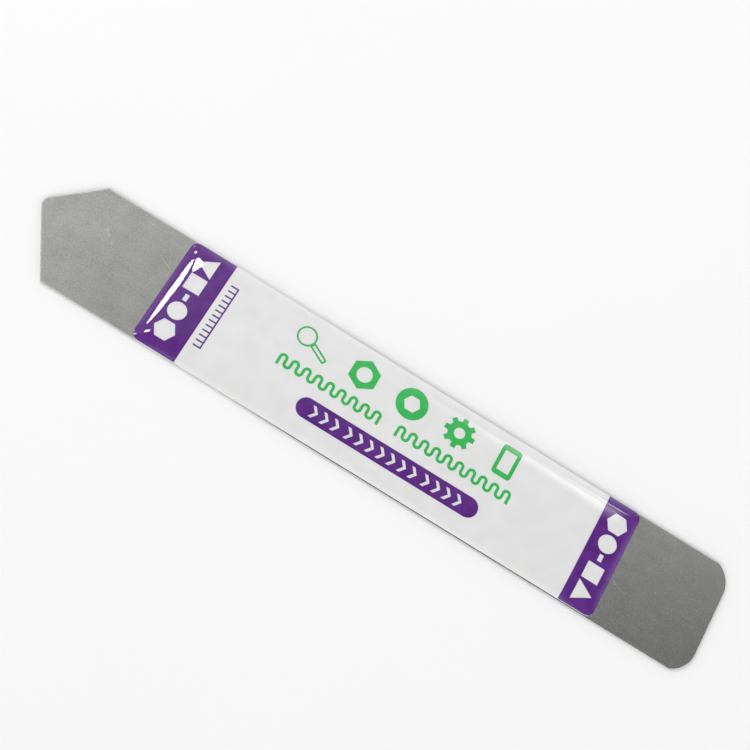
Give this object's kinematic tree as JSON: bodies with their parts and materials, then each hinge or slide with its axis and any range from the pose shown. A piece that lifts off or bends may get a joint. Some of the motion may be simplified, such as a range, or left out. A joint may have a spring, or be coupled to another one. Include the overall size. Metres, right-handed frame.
{
  "type": "spudger",
  "caption": "Flat steel prying tool with a lopsided pointed end, a square end with rounded corners, and a printed label under clear domed resin on one face.",
  "frame": {"origin": "middle of the blade's length and width, on its bare underside, which is the face that rests on a bench", "axes": "+X along the blade towards its square end, +Y across the blade, +Z out of the labelled face"},
  "size_m": [0.1272, 0.02, 0.0019],
  "materials": {
    "blade_steel": "satin, fine bead-blasted grain",
    "label_adhesive": "soft translucent pressure-sensitive adhesive",
    "label_film": "white vinyl, matt",
    "purple_ink": "printed, matt under the resin",
    "green_ink": "printed, matt under the resin",
    "label_resin": "clear cast polyurethane or epoxy, glossy"
  },
  "bodies": {
    "root": {"blade": "blade_steel", "label_adhesive": "label_adhesive", "label_film": "label_film", "label_dome": "label_resin", "ink_band_point_end": "purple_ink", "ink_band_square_end": "purple_ink", "ink_title_bar": "purple_ink", "ink_graduated_scale": "purple_ink", "ink_meander_first": "green_ink", "ink_meander_second": "green_ink", "ink_magnifier_outline": "green_ink", "ink_pictogram_nut": "green_ink", "ink_pictogram_socket_screw": "green_ink", "ink_pictogram_cog": "green_ink", "ink_pictogram_handset": "green_ink"}
  },
  "joints": []
}
